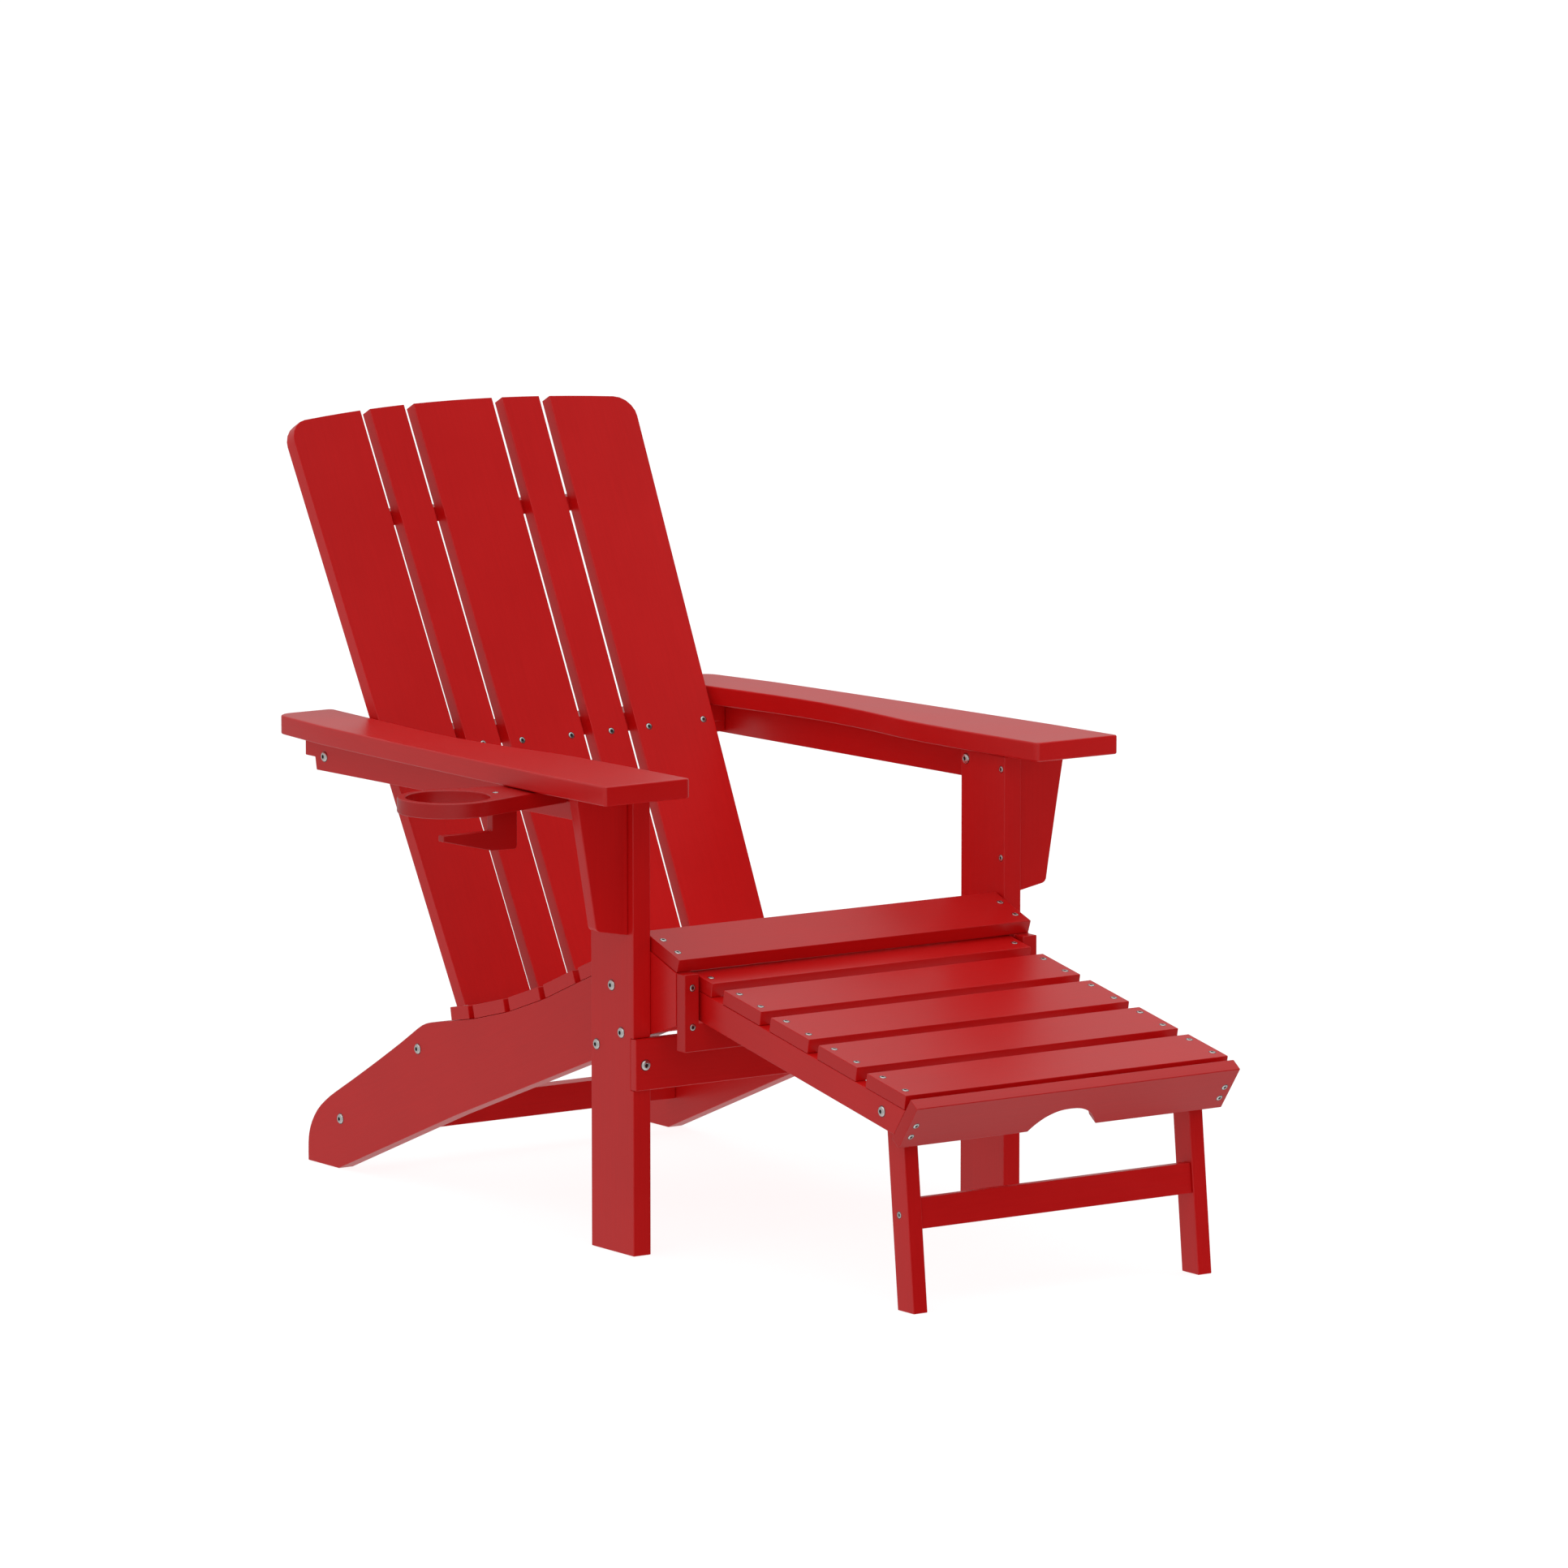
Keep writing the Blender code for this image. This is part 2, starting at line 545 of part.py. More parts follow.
def build_cup_holder():
    # ring with a tapering tongue that butts against the left arm rail
    reach = -(ARM_RAIL_OUTER + GAP) - CUP_X
    corner = math.atan2(CUP_ROOT, reach)
    span = math.hypot(reach, CUP_ROOT)
    tangent = corner + math.acos(CUP_RING / span)

    def outer_radius(angle):
        angle = abs((angle + math.pi) % (2 * math.pi) - math.pi)
        if angle >= tangent:
            return CUP_RING
        if angle <= corner:
            return reach / math.cos(angle)
        return CUP_RING / math.cos(tangent - angle)

    angles = [0.0, corner, -corner, tangent, -tangent]
    angles += [s * (corner + (tangent - corner) * k / 5) for k in range(1, 5) for s in (-1, 1)]
    arc = 2 * math.pi - 2 * tangent
    angles += [tangent + arc * k / 26 for k in range(1, 26)]
    angles = sorted(a % (2 * math.pi) for a in angles)
    bm = bmesh.new()
    rings = []
    for radius_of, z in ((lambda a: CUP_HOLE, CUP_BOTTOM), (outer_radius, CUP_BOTTOM),
                         (outer_radius, CUP_TOP), (lambda a: CUP_HOLE, CUP_TOP)):
        rings.append([bm.verts.new((CUP_X + radius_of(a) * math.cos(a),
                                    CUP_Y + radius_of(a) * math.sin(a), z)) for a in angles])
    count = len(angles)
    for i in range(4):
        low, high = rings[i], rings[(i + 1) % 4]
        for k in range(count):
            j = (k + 1) % count
            bm.faces.new((low[k], low[j], high[j], high[k]))
    finish_mesh("cup_ring", bm, (CUP_X, CUP_Y, CUP_BOTTOM), None, 0.06)

    hook = rounded([(-14.08, CUP_BOTTOM - GAP, 0.0), (-15.40, CUP_BOTTOM - GAP, 0.0),
                    (-15.40, 19.30, 0.12), (-18.00, 19.31, 0.03), (-18.00, 19.04, 0.03),
                    (-15.40, 18.42, 0.0), (-14.08, 18.40, 0.15)], steps=3)
    cross_board("cup_rest", hook, 4.20, 4.62)


# ------------------------------------------------------------------ the ottoman
def otto_point(y, below):
    """Point under the ottoman's top plane: y on the plane, then square down from it."""
    return (y + below * math.sin(OTTO_PITCH),
            OTTO_Z + y * math.tan(OTTO_PITCH) - below * math.cos(OTTO_PITCH))


def on_plane_at(y, below):
    """Point at a given Y on the plane that lies below the ottoman's top plane."""
    return (y, OTTO_Z + y * math.tan(OTTO_PITCH) - below / math.cos(OTTO_PITCH))


def build_ottoman(slide):
    slat_names = ("ottoman_slat_1", "ottoman_slat_2", "ottoman_slat_3", "ottoman_slat_4",
                  "ottoman_slat_5")
    for name, (y0, y1) in zip(slat_names, OTTO_SLATS):
        outline = [otto_point(y0, OTTO_SLAT), otto_point(y1, OTTO_SLAT),
                   otto_point(y1, 0.0), otto_point(y0, 0.0)]
        side_board(name, outline, -OTTO_HALF, OTTO_HALF, parent=slide, edge=SEAT_EDGE)

    # the front apron leans back at its foot; its four section corners
    top_rear = Vector((-18.509, 9.825))
    foot_rear = Vector((-17.120, 7.901))
    down = (foot_rear - top_rear).normalized()
    out = Vector((down.y, -down.x))
    width = (foot_rear - top_rear).length

    def rail_end(below):
        # where a line below the top plane meets the apron's rear face
        slope = down.y / down.x
        rise = math.tan(OTTO_PITCH)
        base = OTTO_Z - below / math.cos(OTTO_PITCH)
        return (base - top_rear.y + slope * top_rear.x) / (slope - rise)

    low, high = RAIL_DEPTH, OTTO_SLAT + GAP
    rail = [on_plane_at(rail_end(low) + 1.5 * GAP, low), on_plane_at(0.30, low),
            on_plane_at(0.33, low - 0.35), on_plane_at(-0.52, high),
            on_plane_at(rail_end(high) + 1.5 * GAP, high)]
    for side, word in ((-1, "left"), (1, "right")):
        obj = side_board("ottoman_rail_" + word, rail, side * RAIL_INNER, side * RAIL_OUTER,
                         parent=slide)
        bore(obj, (side * (RAIL_INNER - 0.1), PIVOT_Y, PIVOT_Z),
             (side * (RAIL_OUTER + 0.1), PIVOT_Y, PIVOT_Z))
        bolt("pivot_bolt_" + word, side * RAIL_OUTER, PIVOT_Y, PIVOT_Z, side, 1.42, parent=slide)

    # apron outline: x across, h up the face from its foot, with an arched hand hold
    arch = curve([(1.85, 0.0), (1.63, 0.35), (1.32, 0.69), (1.04, 0.89), (0.72, 1.045),
                  (0.36, 1.13), (0.0, 1.15)], 2)
    right = [(x, h) for x, h in reversed(arch)]
    left = [(-x, h) for x, h in arch][:-1]
    half = OTTO_APRON_HALF
    outline = [(-half, width), (-half, 0.0)] + left + right + [(half, 0.0), (half, width)]
    rings = []
    for offset in (0.0, OTTO_APRON_THICK):
        ring = []
        for x, h in outline:
            spot = foot_rear - down * h + out * offset
            ring.append((x, spot.x, spot.y))
        rings.append(ring)
    loft("ottoman_apron", rings[0], rings[1], parent=slide)


def build_ottoman_legs(fold):
    top = Vector((PIVOT_Y, PIVOT_Z))
    foot = Vector((OTTO_FOOT_Y, FLOOR))
    down = (foot - top).normalized()
    across = Vector((-down.y, down.x))
    outline = []
    for k in range(9):
        angle = math.pi * k / 8
        spot = top + (across * math.cos(angle) - down * math.sin(angle)) * OTTO_LEG_HALF
        outline.append((spot.x, spot.y))
    for sign in (-1, 1):
        spot = foot + across * (sign * OTTO_LEG_HALF)
        outline.append((spot.x - down.x / down.y * (spot.y - FLOOR), FLOOR))
    for side, word in ((-1, "left"), (1, "right")):
        leg = side_board("ottoman_leg_" + word, outline, side * OTTO_LEG_INNER,
                         side * OTTO_LEG_OUTER, parent=fold,
                         pivot=(side * OTTO_LEG_INNER, PIVOT_Y, PIVOT_Z))
        bore(leg, (side * (OTTO_LEG_INNER - 0.1), PIVOT_Y, PIVOT_Z),
             (side * (OTTO_LEG_OUTER + 0.1), PIVOT_Y, PIVOT_Z))

    section = []
    for height, behind in ((3.75, 0.10), (3.75, 0.72), (5.10, 0.72), (5.10, 0.10)):
        on_axis = foot + (top - foot) * ((height - FLOOR) / (PIVOT_Z - FLOOR))
        spot = on_axis + across * (behind - OTTO_LEG_HALF)
        section.append((spot.x, spot.y))
    half = OTTO_LEG_INNER - GAP
    side_board("ottoman_leg_stretcher", section, -half, half, parent=fold)


def build_glides(tilt):
    # thin guide plates on the chair side of the rails, behind the apron
    for side, word in ((-1, "left"), (1, "right")):
        outline = [on_plane_at(-1.90, RAIL_DEPTH - 0.05), on_plane_at(-0.25, RAIL_DEPTH - 0.05),
                   on_plane_at(-0.25, 0.95), on_plane_at(-1.90, 0.95)]
        side_board("glide_plate_" + word, outline, side * 8.795, side * 8.890, parent=tilt,
                   edge=0.0)


def build():
    clear_scene()
    build_sides()
    build_cross_rails()
    build_back()
    build_seat()
    build_arms()
    build_cup_holder()
    tilt = empty("joint_ottoman_tilt", (0.0, FULCRUM_Y, FULCRUM_Z))
    slide = empty("joint_ottoman_slide", (0.0, FULCRUM_Y, FULCRUM_Z), tilt)
    fold = empty("joint_ottoman_legs", (0.0, PIVOT_Y, PIVOT_Z), slide)
    build_glides(tilt)
    build_ottoman(slide)
    build_ottoman_legs(fold)


build()
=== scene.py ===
"""Looks of the adirondack chair with pull-out ottoman, built around its CAD frame.

Lengths are in inches of the chair's own layout, as in the CAD: X across, Y from the
front face of the front legs to the back, Z up with the feet at FLOOR; place() turns them
into the frame's metres. What goes straight to Blender, such as the floor, is in metres.
"""
import json
import math

import bmesh
import bpy
from mathutils import Matrix, Vector

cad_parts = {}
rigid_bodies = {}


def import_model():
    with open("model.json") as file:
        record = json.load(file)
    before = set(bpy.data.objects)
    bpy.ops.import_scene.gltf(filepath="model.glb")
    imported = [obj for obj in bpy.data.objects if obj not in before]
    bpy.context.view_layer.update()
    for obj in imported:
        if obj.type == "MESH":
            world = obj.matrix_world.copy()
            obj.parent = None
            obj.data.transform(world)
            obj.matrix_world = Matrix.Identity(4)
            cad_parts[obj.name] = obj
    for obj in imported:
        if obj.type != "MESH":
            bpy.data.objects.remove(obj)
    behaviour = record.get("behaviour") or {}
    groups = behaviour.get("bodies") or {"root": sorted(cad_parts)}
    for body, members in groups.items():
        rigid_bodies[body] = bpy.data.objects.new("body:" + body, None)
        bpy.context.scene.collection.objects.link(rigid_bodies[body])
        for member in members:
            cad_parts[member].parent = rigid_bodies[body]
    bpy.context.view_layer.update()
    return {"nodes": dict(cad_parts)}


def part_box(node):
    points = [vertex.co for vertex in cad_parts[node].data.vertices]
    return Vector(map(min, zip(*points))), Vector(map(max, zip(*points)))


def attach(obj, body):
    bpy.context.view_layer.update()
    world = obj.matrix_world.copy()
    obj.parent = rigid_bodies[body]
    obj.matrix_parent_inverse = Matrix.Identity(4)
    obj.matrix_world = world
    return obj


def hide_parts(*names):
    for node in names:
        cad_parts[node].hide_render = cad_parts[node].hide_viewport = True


for leftover in list(bpy.data.objects):
    bpy.data.objects.remove(leftover, do_unlink=True)

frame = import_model()

# ------------------------------------------------------------------ dimensions
INCH = 0.0254
CENTRE_X, CENTRE_Y, FLOOR = -2.8446, 6.1918, 0.17

RECLINE = math.radians(27.6)
BACK_Y, BACK_Z, BACK_RADIUS, BACK_FAN = 22.86, 20.05, 77.0, 0.0035
FRONT_PITCH = math.radians(19.4)
OTTO_PITCH, OTTO_Z = math.atan(0.197), 13.506
OTTO_SLATS = ((-3.424, -1.680), (-7.179, -4.316), (-10.850, -7.930),
              (-14.485, -11.580), (-18.132, -15.232))
ALONG_BACK = (0.0, math.sin(RECLINE), math.cos(RECLINE))
ALONG_OTTO = (0.0, math.cos(OTTO_PITCH), math.sin(OTTO_PITCH))

# faces that the fasteners stand on: X of the sides, Y of the fronts, Z of the tops
LEG_OUTER, LEG_INNER, STRINGER_OUTER, ARM_RAIL_OUTER = 10.70, 9.763, 9.75, 11.60
OTTO_RAIL_OUTER, OTTO_LEG_OUTER = 8.778, 8.140
APRON_FRONT, STRETCHER_FRONT = -2.604, -0.20
CUP_RING_TOP = 21.0
THIN = 0.62                         # thickness of the front slat and the ottoman's apron
FRONT_SLAT_Y, FRONT_SLAT_Z = -1.948, 13.212 + THIN / math.cos(FRONT_PITCH)
OTTO_APRON_TOP, OTTO_APRON_FOOT = (-18.509, 9.825), (-17.120, 7.901)  # its rear face, (Y, Z)

BOLT = dict(radius=0.235, height=0.100, socket=0.098, depth=0.055)
SCREW = dict(radius=0.140, height=0.024, socket=0.078, depth=0.022)
SUNK_SCREW = dict(radius=0.140, height=0.012, socket=0.078, depth=0.010)
SHADOW_RING_WIDTH, SHADOW_RING_HEIGHT = 0.022, 0.003           # dark ring round a head, a painted shadow: width, height
HEAD_SIDES = 36

FRAME_PX, FOCAL_PX = 1932.0, 13198.84
SENSOR = 36.0                       # millimetres


def place(x, y, z):
    return Vector(((x - CENTRE_X) * INCH, (y - CENTRE_Y) * INCH, (z - FLOOR) * INCH))


# ------------------------------------------------------------------- materials
def new_material(name):
    mat = bpy.data.materials.new(name)
    mat.use_nodes = True
    return mat, mat.node_tree, mat.node_tree.nodes["Principled BSDF"]


def feed(tree, socket, value):
    """Link an output to the socket, or set the socket to a number."""
    if isinstance(value, bpy.types.NodeSocket):
        tree.links.new(value, socket)
    else:
        socket.default_value = value


def calculate(tree, operation, *values):
    made = tree.nodes.new("ShaderNodeMath")
    made.operation = operation
    for socket, value in zip(made.inputs, values):
        feed(tree, socket, value)
    return made.outputs["Value"]


def mix_numbers(tree, source, low, high):
    remap = tree.nodes.new("ShaderNodeMapRange")
    remap.inputs["To Min"].default_value = low
    remap.inputs["To Max"].default_value = high
    tree.links.new(source, remap.inputs["Value"])
    return remap.outputs["Result"]


def noise(tree, vector, scale, detail, roughness=0.5):
    made = tree.nodes.new("ShaderNodeTexNoise")
    made.inputs["Scale"].default_value = scale
    made.inputs["Detail"].default_value = detail
    made.inputs["Roughness"].default_value = roughness
    tree.links.new(vector, made.inputs["Vector"])
    return made.outputs["Fac"]


def two_tones(tree, source, low, high):
    """Colour between two (position, colour) stops."""
    ramp = tree.nodes.new("ShaderNodeValToRGB")
    for element, (position, color) in zip(ramp.color_ramp.elements, (low, high)):
        element.position = position
        element.color = (*color, 1)
    tree.links.new(source, ramp.inputs["Fac"])
    return ramp.outputs["Color"]


def bump(tree, height, strength, distance, normal=None):
    made = tree.nodes.new("ShaderNodeBump")
    made.inputs["Strength"].default_value = strength
    made.inputs["Distance"].default_value = distance
    tree.links.new(height, made.inputs["Height"])
    if normal is not None:
        tree.links.new(normal, made.inputs["Normal"])
    return made.outputs["Normal"]


def lumber(name, along, painted_shading=1.0):
    """Red plastic lumber, its faint grain running along the board, its colour scaled by a
    factor that paints shade (below one) and light (above one) onto the board.
    """
    mat, tree, shader = new_material(name)
    link = tree.links.new
    coords = tree.nodes.new("ShaderNodeTexCoord")
    info = tree.nodes.new("ShaderNodeObjectInfo")
    spread = calculate(tree, "MULTIPLY", info.outputs["Random"], 7.0)
    shift = tree.nodes.new("ShaderNodeVectorMath")
    shift.operation = "ADD"
    link(coords.outputs["Object"], shift.inputs[0])
    link(spread, shift.inputs[1])

    align = tree.nodes.new("ShaderNodeMapping")
    turn = Vector(along).normalized().rotation_difference(Vector((1, 0, 0))).to_euler()
    align.inputs["Rotation"].default_value = turn
    link(shift.outputs["Vector"], align.inputs["Vector"])
    stretch = tree.nodes.new("ShaderNodeMapping")
    stretch.inputs["Scale"].default_value = (9.0, 260.0, 260.0)
    link(align.outputs["Vector"], stretch.inputs["Vector"])

    grain = noise(tree, stretch.outputs["Vector"], 1.6, 5.0, roughness=0.62)
    pores = noise(tree, align.outputs["Vector"], 900.0, 3.0)
    cloud = noise(tree, align.outputs["Vector"], 9.0, 3.0)

    blend = calculate(tree, "MULTIPLY_ADD", grain, 0.35, mix_numbers(tree, cloud, 0.12, 0.53))
    # both tones are scaled by the factor of painted shade and light
    deep, light = ([part * painted_shading for part in color]
                   for color in ((0.66, 0.0040, 0.0044), (0.76, 0.0062, 0.0066)))
    link(two_tones(tree, blend, (0.30, deep), (0.72, light)), shader.inputs["Base Color"])
    link(mix_numbers(tree, blend, 0.28, 0.38), shader.inputs["Roughness"])
    surface = bump(tree, pores, 0.06, 0.0003, bump(tree, grain, 0.10, 0.0005))
    link(surface, shader.inputs["Normal"])
    shader.inputs["IOR"].default_value = 1.5
    return mat


def steel(name, low, high):
    """Brushed stainless steel of the bolts and screws, between two tones."""
    mat, tree, shader = new_material(name)
    link = tree.links.new
    coords = tree.nodes.new("ShaderNodeTexCoord")
    fine = noise(tree, coords.outputs["Object"], 1400.0, 4.0)
    link(two_tones(tree, fine, (0.3, low), (0.7, high)), shader.inputs["Base Color"])
    link(mix_numbers(tree, fine, 0.20, 0.34), shader.inputs["Roughness"])
    link(bump(tree, fine, 0.05, 0.0002), shader.inputs["Normal"])
    shader.inputs["Metallic"].default_value = 1.0
    return mat


bright_steel = steel("stainless_steel", (0.62, 0.61, 0.595), (0.80, 0.79, 0.77))
# very dark steel for each head's socket and the ring round it: painted shade in the socket,
# painted shadow round the head
painted_shade_steel = steel("painted_shade_steel", (0.08, 0.078, 0.075), (0.16, 0.157, 0.152))

# The factors below paint light and shade into the boards' colour. The cup holder, the front
# seat slat with the seat apron, and the ottoman's slats and apron are darkened as painted
# shade. The back slats are lightened as painted light.
BOARD_LOOKS = (        # start of the names, material
    (("cup",), lumber("lumber_cup_holder_painted_shade", (1, 0, 0), painted_shading=0.74)),
    (("back_slat",), lumber("lumber_reclined_painted_light", ALONG_BACK, painted_shading=1.06)),
    (("stringer",), lumber("lumber_stringer", (0.0, 0.93, -0.37))),
    (("seat_slat_front", "seat_apron"), lumber("lumber_front_seat_painted_shade", (1, 0, 0), painted_shading=0.86)),
    (("ottoman_slat",), lumber("lumber_ottoman_slat_painted_shade", (1, 0, 0), painted_shading=0.93)),
    (("ottoman_apron",), lumber("lumber_ottoman_apron_painted_shade", (1, 0, 0), painted_shading=0.86)),
    (("ottoman_rail", "glide"), lumber("lumber_ottoman_rail", ALONG_OTTO)),
    (("front_leg", "ottoman_leg_left", "ottoman_leg_right", "arm_bracket"),
     lumber("lumber_upright", (0, 0, 1))),
    (("arm_left", "arm_right", "arm_rail"), lumber("lumber_lengthwise", (0, 1, 0))),
    (("",), lumber("lumber_across", (1, 0, 0))),
)


def look_of(name):
    return next(mat for starts, mat in BOARD_LOOKS if name.startswith(starts))


def finish_board(obj, mat):
    """Weld the imported facets and round the shading over the small edge radii."""
    for entry in obj.material_slots:
        entry.material = mat
    obj.data.polygons.foreach_set("use_smooth", [True] * len(obj.data.polygons))
    weld = obj.modifiers.new("weld", "WELD")
    weld.merge_threshold = 0.00002
    split = obj.modifiers.new("sharp", "EDGE_SPLIT")
    split.split_angle = math.radians(50)
    normals = obj.modifiers.new("normals", "WEIGHTED_NORMAL")
    normals.mode = "FACE_AREA"
    normals.weight = 100


for name, obj in frame["nodes"].items():
    if "bolt" not in name:
        finish_board(obj, look_of(name))


# ------------------------------------------------------------------- fasteners
LIP = 0.54                          # flat ring round the socket, share of the radius
SHOULDER = 0.10                     # upright edge under the dome, share of the height
CROWN = 0.42                        # what the dome leaves flat, share of the radius
CHAMFER = 0.008                     # bevel at the socket's mouth
SIXTH = math.pi / 3                 # one side of the hexagon


def add_head(bm, point, normal, radius, height, socket, depth, spin=0.0):
    """A domed head with a hexagon socket, standing on point along normal, on a dark ring of
    painted shadow.
    """
    normal = Vector(normal).normalized()
    side = normal.orthogonal().normalized()
    other = normal.cross(side)
    base = place(*point)
    shadow_ring_radius = radius + SHADOW_RING_WIDTH
    lip = LIP * radius

    def hexagon(angle):
        part = (angle + spin) % SIXTH - SIXTH / 2
        return socket * math.cos(SIXTH / 2) / math.cos(part)

    # from the board up: (radius at an angle, height) of each ring
    profile = [(lambda a: shadow_ring_radius, 0.001), (lambda a: shadow_ring_radius, SHADOW_RING_HEIGHT), (lambda a: radius, SHADOW_RING_HEIGHT),
               (lambda a: radius, SHOULDER * height + SHADOW_RING_HEIGHT)]
    for step in range(1, 6):
        turn = math.radians(15 * step)
        spot = radius * (CROWN + (1 - CROWN) * math.cos(turn))
        up = height * (SHOULDER + (1 - SHOULDER) * math.sin(turn))
        profile.append((lambda a, r=spot: r, up))
    profile += [(lambda a: lip, height), (lambda a: hexagon(a) * 1.08, height),
                (hexagon, height - CHAMFER), (hexagon, height - depth)]
    rings = []
    for radius_of, up in profile:
        ring = []
        for k in range(HEAD_SIDES):
            angle = 2 * math.pi * k / HEAD_SIDES
            arm = radius_of(angle)
            offset = side * (math.cos(angle) * arm) + other * (math.sin(angle) * arm)
            ring.append(bm.verts.new(base + (offset + normal * up) * INCH))
        rings.append(ring)
    faces = [bm.faces.new(list(reversed(rings[0])))]
    for low, high in zip(rings, rings[1:]):
        for k in range(HEAD_SIDES):
            j = (k + 1) % HEAD_SIDES
            faces.append(bm.faces.new((low[k], low[j], high[j], high[k])))
    for face in faces:
        face.smooth = True
    # the ring round the head takes the dark steel as painted shadow, the socket's walls and
    # floor take it as painted shade
    painted_shadow_ring, socket_walls = faces[:1 + 2 * HEAD_SIDES], faces[-HEAD_SIDES:]
    for face in painted_shadow_ring + socket_walls + [bm.faces.new(rings[-1])]:
        face.material_index = 1
    for face in socket_walls:
        face.smooth = False


def fasteners(name, body, heads, kind, stands_for=()):
    """One piece with a head at each (point, normal), riding on a body."""
    bm = bmesh.new()
    for number, (point, normal) in enumerate(heads):
        add_head(bm, point, normal, spin=0.4 * number, **kind)
    bmesh.ops.recalc_face_normals(bm, faces=bm.faces)
    mesh = bpy.data.meshes.new(name)
    bm.to_mesh(mesh)
    bm.free()
    mesh.set_sharp_from_angle(angle=math.radians(50))
    obj = bpy.data.objects.new(name, mesh)
    bpy.context.collection.objects.link(obj)
    mesh.materials.append(bright_steel)
    mesh.materials.append(painted_shade_steel)
    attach(obj, body)
    if stands_for:
        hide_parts(*stands_for)
    return obj


def back_front(x, along):
    """Point and normal on the hollowed front of the back, up its slats from arm height."""
    x *= 1.0 + BACK_FAN * along
    hollow = x * x / (2 * BACK_RADIUS)
    point = (x, BACK_Y + along * math.sin(RECLINE) - hollow * math.cos(RECLINE),
             BACK_Z + along * math.cos(RECLINE) + hollow * math.sin(RECLINE))
    tilt = x / BACK_RADIUS
    return point, (-tilt, -math.cos(RECLINE), math.sin(RECLINE))


def on_ottoman_top(y):
    """Y and Z on the ottoman's top plane."""
    return y, OTTO_Z + y * math.tan(OTTO_PITCH)


def chair_screws():
    heads = []
    up = (0.0, -math.sin(FRONT_PITCH), math.cos(FRONT_PITCH))
    for side in (-1, 1):
        for y in (-0.33, -1.48):                # ends of the front seat slat
            z = FRONT_SLAT_Z + (y - FRONT_SLAT_Y) * math.tan(FRONT_PITCH)
            heads.append(((side * 9.3, y, z), up))
        if side < 0:      # the other ear of the apron has only the lower screw
            heads.append(((-9.28, APRON_FRONT, 12.57), (0, -1, 0)))
        heads.append(((side * 9.27, APRON_FRONT, 10.80), (0, -1, 0)))
        for z in (20.43, 16.35):                # inside of the leg, at the arm's bracket
            heads.append(((side * LEG_INNER, 0.27, z), (-side, 0, 0)))
        for x in (1.38, 3.60, 5.66, 8.60):      # back slats, in front of the cross board
            heads.append(back_front(side * x, -0.02))
    heads.append(((-15.09, 4.40, CUP_RING_TOP), (0, 0, 1)))
    return heads


def seat_screws():
    """Screws of the seat slats, read from where the slats are."""
    heads = []
    for number in range(1, 7):
        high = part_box("seat_slat_" + str(number))[1]
        verts = [v.co for v in frame["nodes"]["seat_slat_" + str(number)].data.vertices]
        # corners at the front and the rear of the slat's upper face
        top = min((c for c in verts if c.z > high.z - 0.0005), key=lambda c: c.y)
        rear = max(verts, key=lambda c: c.y + c.z * 0.4)
        run = Vector((0, rear.y - top.y, rear.z - top.z))
        normal = Vector((0, -run.z, run.y)).normalized()
        stops = (0.5,) if number == 6 else (0.26, 0.78)     # shares of the way back
        for side in (-1, 1):
            for share in stops:
                spot = top + (rear - top) * share
                point = (side * 9.33, spot.y / INCH + CENTRE_Y, spot.z / INCH + FLOOR)
                heads.append((point, normal))
    return heads


def ottoman_screws():
    heads = []
    up = (0.0, -math.sin(OTTO_PITCH), math.cos(OTTO_PITCH))
    foot = Vector(OTTO_APRON_FOOT)
    down = (foot - Vector(OTTO_APRON_TOP)).normalized()
    out = Vector((down.y, -down.x))
    for side in (-1, 1):
        for number, (front, rear) in enumerate(OTTO_SLATS):
            # the first slat is half hidden under the seat
            stops = (-2.71,) if number == 0 else (front + 0.61, rear - 0.61)
            for y in stops:
                heads.append(((side * 8.36, *on_ottoman_top(y)), up))
        for rise in (0.65, 1.31):               # ends of the apron
            spot = foot - down * rise + out * THIN
            heads.append(((side * 8.40, spot.x, spot.y), (0.0, out.x, out.y)))
    return heads


fasteners("chair_screws", "chair", chair_screws(), SCREW)
fasteners("seat_screws", "chair", seat_screws(), SCREW)
fasteners("ottoman_screws", "ottoman", ottoman_screws(), SCREW)
fasteners("ottoman_leg_screws", "ottoman_legs",
          [((side * OTTO_LEG_OUTER, -16.77, 4.40), (side, 0, 0)) for side in (-1, 1)],
          SUNK_SCREW)

# leg, stringer and pivot bolts at their (y, z) on the boards' outer faces, and the rest
for side, word in ((-1, "left"), (1, "right")):
    outward = (side, 0, 0)
    fasteners("leg_bolts_" + word, "chair",
              [((side * LEG_OUTER, y, z), outward)
               for y, z in ((1.71, 12.26), (2.91, 9.42), (0.95, 10.21))],
              BOLT, ["leg_bolt_" + word + "_" + str(k) for k in (1, 2, 3)])
    fasteners("stringer_bolts_" + word, "chair",
              [((side * STRINGER_OUTER, y, z), outward)
               for y, z in ((19.05, 6.80), (25.68, 2.55))],
              BOLT, ["stringer_bolt_" + word + "_" + str(k) for k in (1, 2)])
    fasteners("frame_bolts_" + word, "chair",
              [((side * 10.17, STRETCHER_FRONT, 8.84), (0, -1, 0)),      # front stretcher
               ((side * LEG_INNER, 2.98, 20.62), (-side, 0, 0)),         # leg to arm rail
               ((side * ARM_RAIL_OUTER, 23.98, 19.98), outward)],        # rail to cross board
              BOLT)
    fasteners("ottoman_bolt_" + word, "ottoman",
              [((side * OTTO_RAIL_OUTER, -16.36, 8.99), outward)],
              BOLT, ["pivot_bolt_" + word])


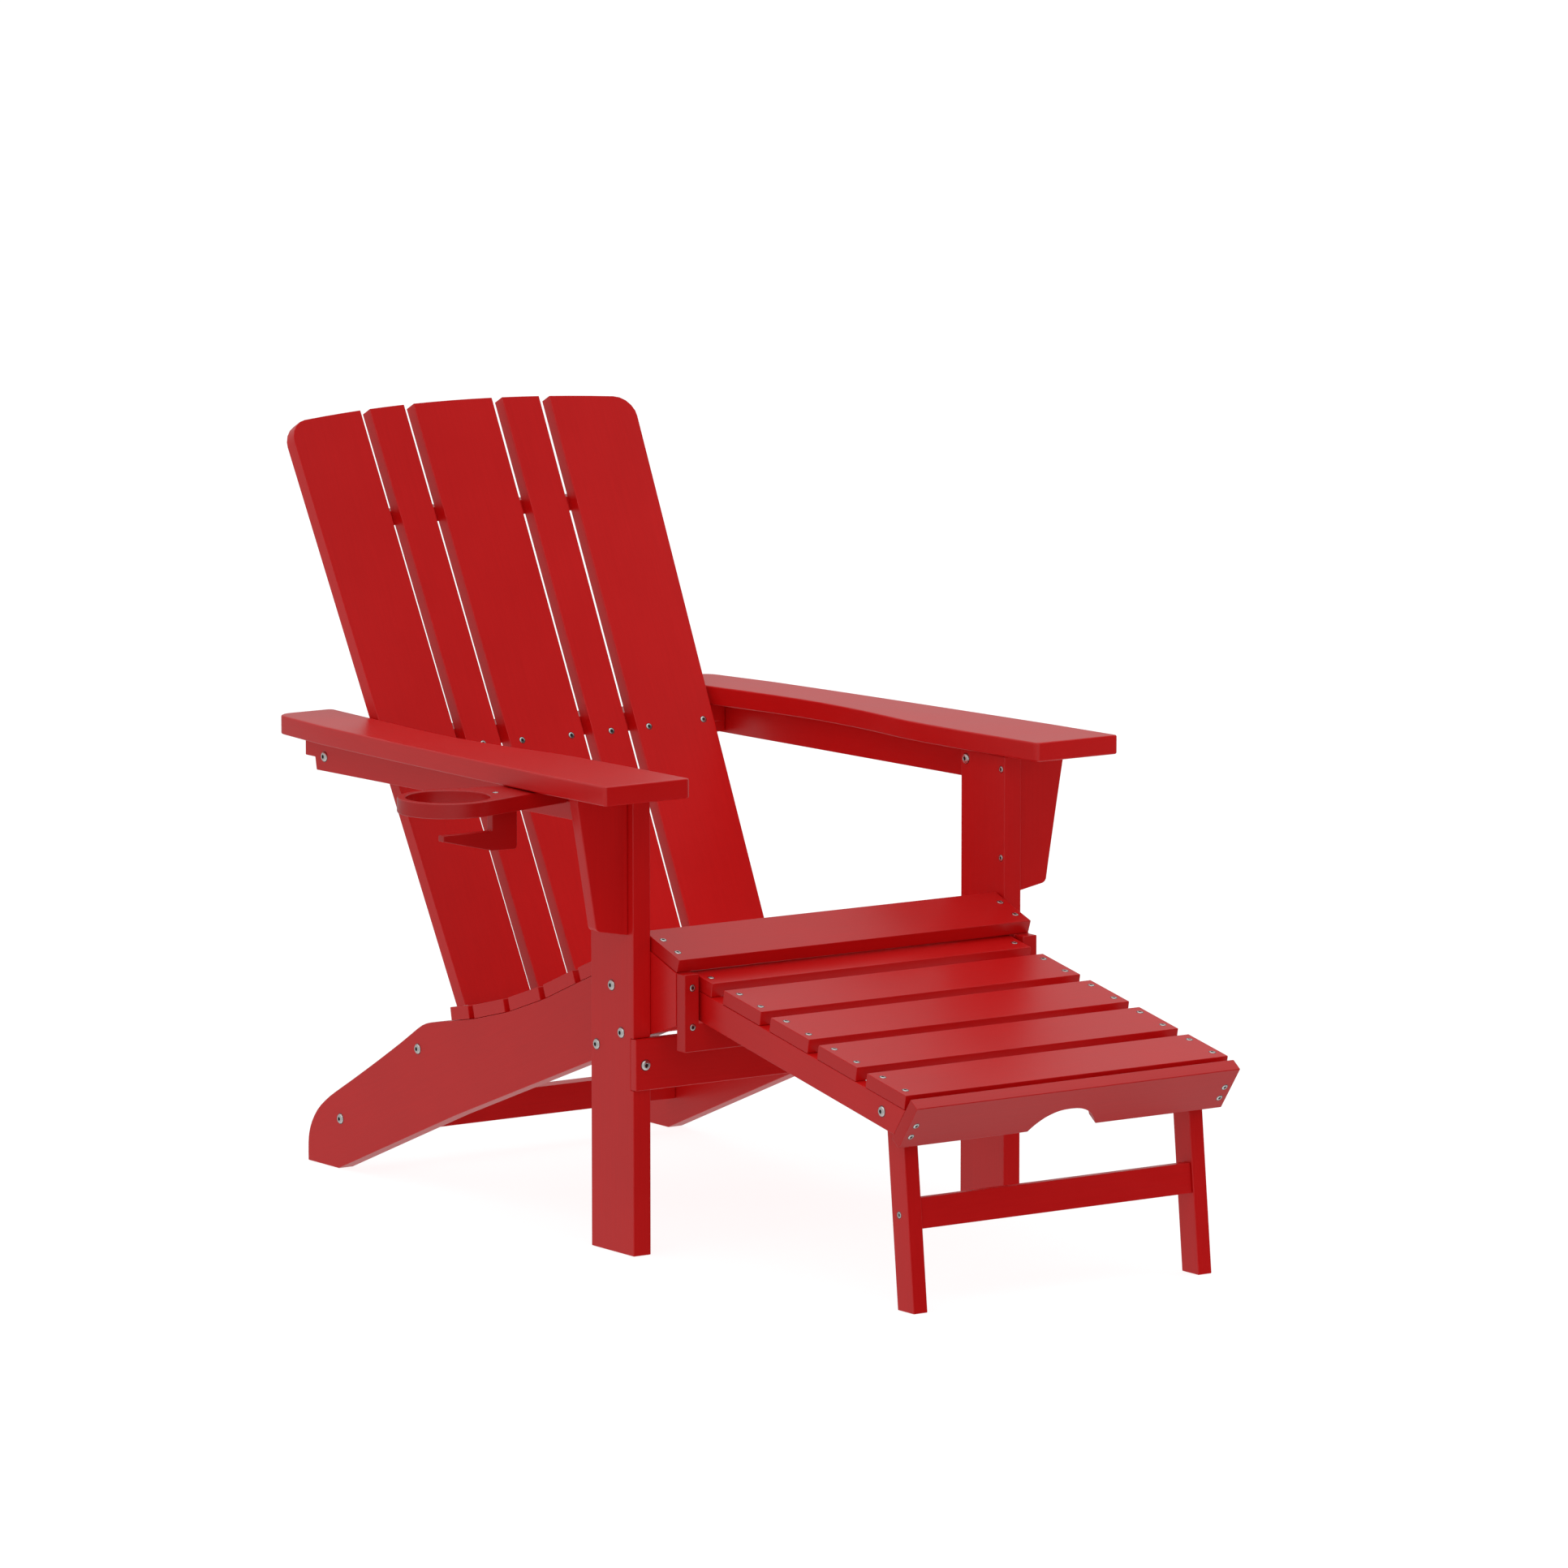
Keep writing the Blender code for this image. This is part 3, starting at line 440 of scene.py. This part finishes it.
# ----------------------------------------------------------------------- stage
def make_floor():
    bm = bmesh.new()
    bmesh.ops.create_grid(bm, x_segments=8, y_segments=8, size=60.0)
    mesh = bpy.data.meshes.new("floor")
    bm.to_mesh(mesh)
    bm.free()
    floor = bpy.data.objects.new("floor", mesh)
    bpy.context.collection.objects.link(floor)
    floor.location = (0.0, 0.0, -0.0005)
    mat, _, shader = new_material("pale_floor")
    shader.inputs["Base Color"].default_value = (0.26, 0.26, 0.26, 1)
    shader.inputs["Roughness"].default_value = 0.9
    shader.inputs["Specular IOR Level"].default_value = 0.0
    shader.inputs["Emission Color"].default_value = (1, 1, 1, 1)
    shader.inputs["Emission Strength"].default_value = 0.90
    mesh.materials.append(mat)
    floor.visible_glossy = False
    floor.visible_diffuse = False


WORLD_BASE = 0.34
WORLD_LOBES = (                         # direction, width, strength
    ((0.0, 0.0, 1.0), 3.0, 0.40),       # overhead
    ((0.10, -0.35, 0.93), 3.0, 0.82),   # soft key above the front
    ((-0.85, -0.50, 0.20), 2.0, 0.14),  # fill from the left
    ((0.30, -0.95, -0.20), 1.5, 0.27),  # fill from the front
    ((0.0, 0.0, -1.0), 2.0, 0.48),      # light back from the floor
    ((-0.75, 0.65, 0.05), 2.5, 0.14),   # left and behind
    ((0.60, 0.78, 0.10), 3.0, 0.18),    # right and behind
    ((0.56, -0.82, -0.10), 6.0, -0.58),  # dark cards at the front right
    ((0.42, -0.65, 0.60), 6.0, -0.94),
)


def make_world():
    world = bpy.data.worlds.new("studio")
    bpy.context.scene.world = world
    world.use_nodes = True
    tree = world.node_tree
    link = tree.links.new
    coords = tree.nodes.new("ShaderNodeTexCoord")
    total = WORLD_BASE
    for direction, width, strength in WORLD_LOBES:
        dot = tree.nodes.new("ShaderNodeVectorMath")
        dot.operation = "DOT_PRODUCT"
        dot.inputs[1].default_value = Vector(direction).normalized()
        link(coords.outputs["Generated"], dot.inputs[0])
        facing = calculate(tree, "MAXIMUM", dot.outputs["Value"], 0.0)
        lobe = calculate(tree, "POWER", facing, width)
        total = calculate(tree, "MULTIPLY_ADD", lobe, strength, total)
    background = tree.nodes["Background"]
    link(calculate(tree, "MAXIMUM", total, 0.02), background.inputs["Strength"])
    background.inputs["Color"].default_value = (1.0, 1.0, 1.0, 1.0)


def make_softbox():
    """Large soft lamp at the front right, seen by matt surfaces only."""
    data = bpy.data.lights.new("softbox", "AREA")
    data.shape = "SQUARE"
    data.size = 1.1
    data.energy = 4.6
    lamp = bpy.data.objects.new("softbox", data)
    bpy.context.collection.objects.link(lamp)
    lamp.location = place(55.0, -45.0, 25.0)
    aim = place(5.0, 0.0, 12.0) - lamp.location
    lamp.rotation_euler = aim.to_track_quat("-Z", "Y").to_euler()
    lamp.visible_glossy = False


def make_camera():
    """Long lens from the front left, a little above the arms."""
    yaw, pitch, roll = (math.radians(a) for a in (-35.0525, 8.4497, 0.0034))
    spot = place(-275.404, -388.993, 91.431)
    ahead = -Vector((math.sin(yaw) * math.cos(pitch), -math.cos(yaw) * math.cos(pitch),
                     math.sin(pitch)))
    right = Vector((math.cos(yaw), math.sin(yaw), 0.0))
    up = right.cross(ahead)
    turned = math.cos(roll) * right + math.sin(roll) * up
    top = -math.sin(roll) * right + math.cos(roll) * up
    data = bpy.data.cameras.new("camera")
    data.sensor_width = SENSOR
    data.lens = FOCAL_PX / FRAME_PX * SENSOR
    data.clip_end = 200.0
    camera = bpy.data.objects.new("camera", data)
    bpy.context.collection.objects.link(camera)
    basis = Matrix((turned, top, -ahead)).transposed().to_4x4()
    camera.matrix_world = Matrix.Translation(spot) @ basis
    bpy.context.scene.camera = camera


make_floor()
make_world()
make_softbox()
make_camera()
bpy.context.scene.view_settings.view_transform = "Standard"
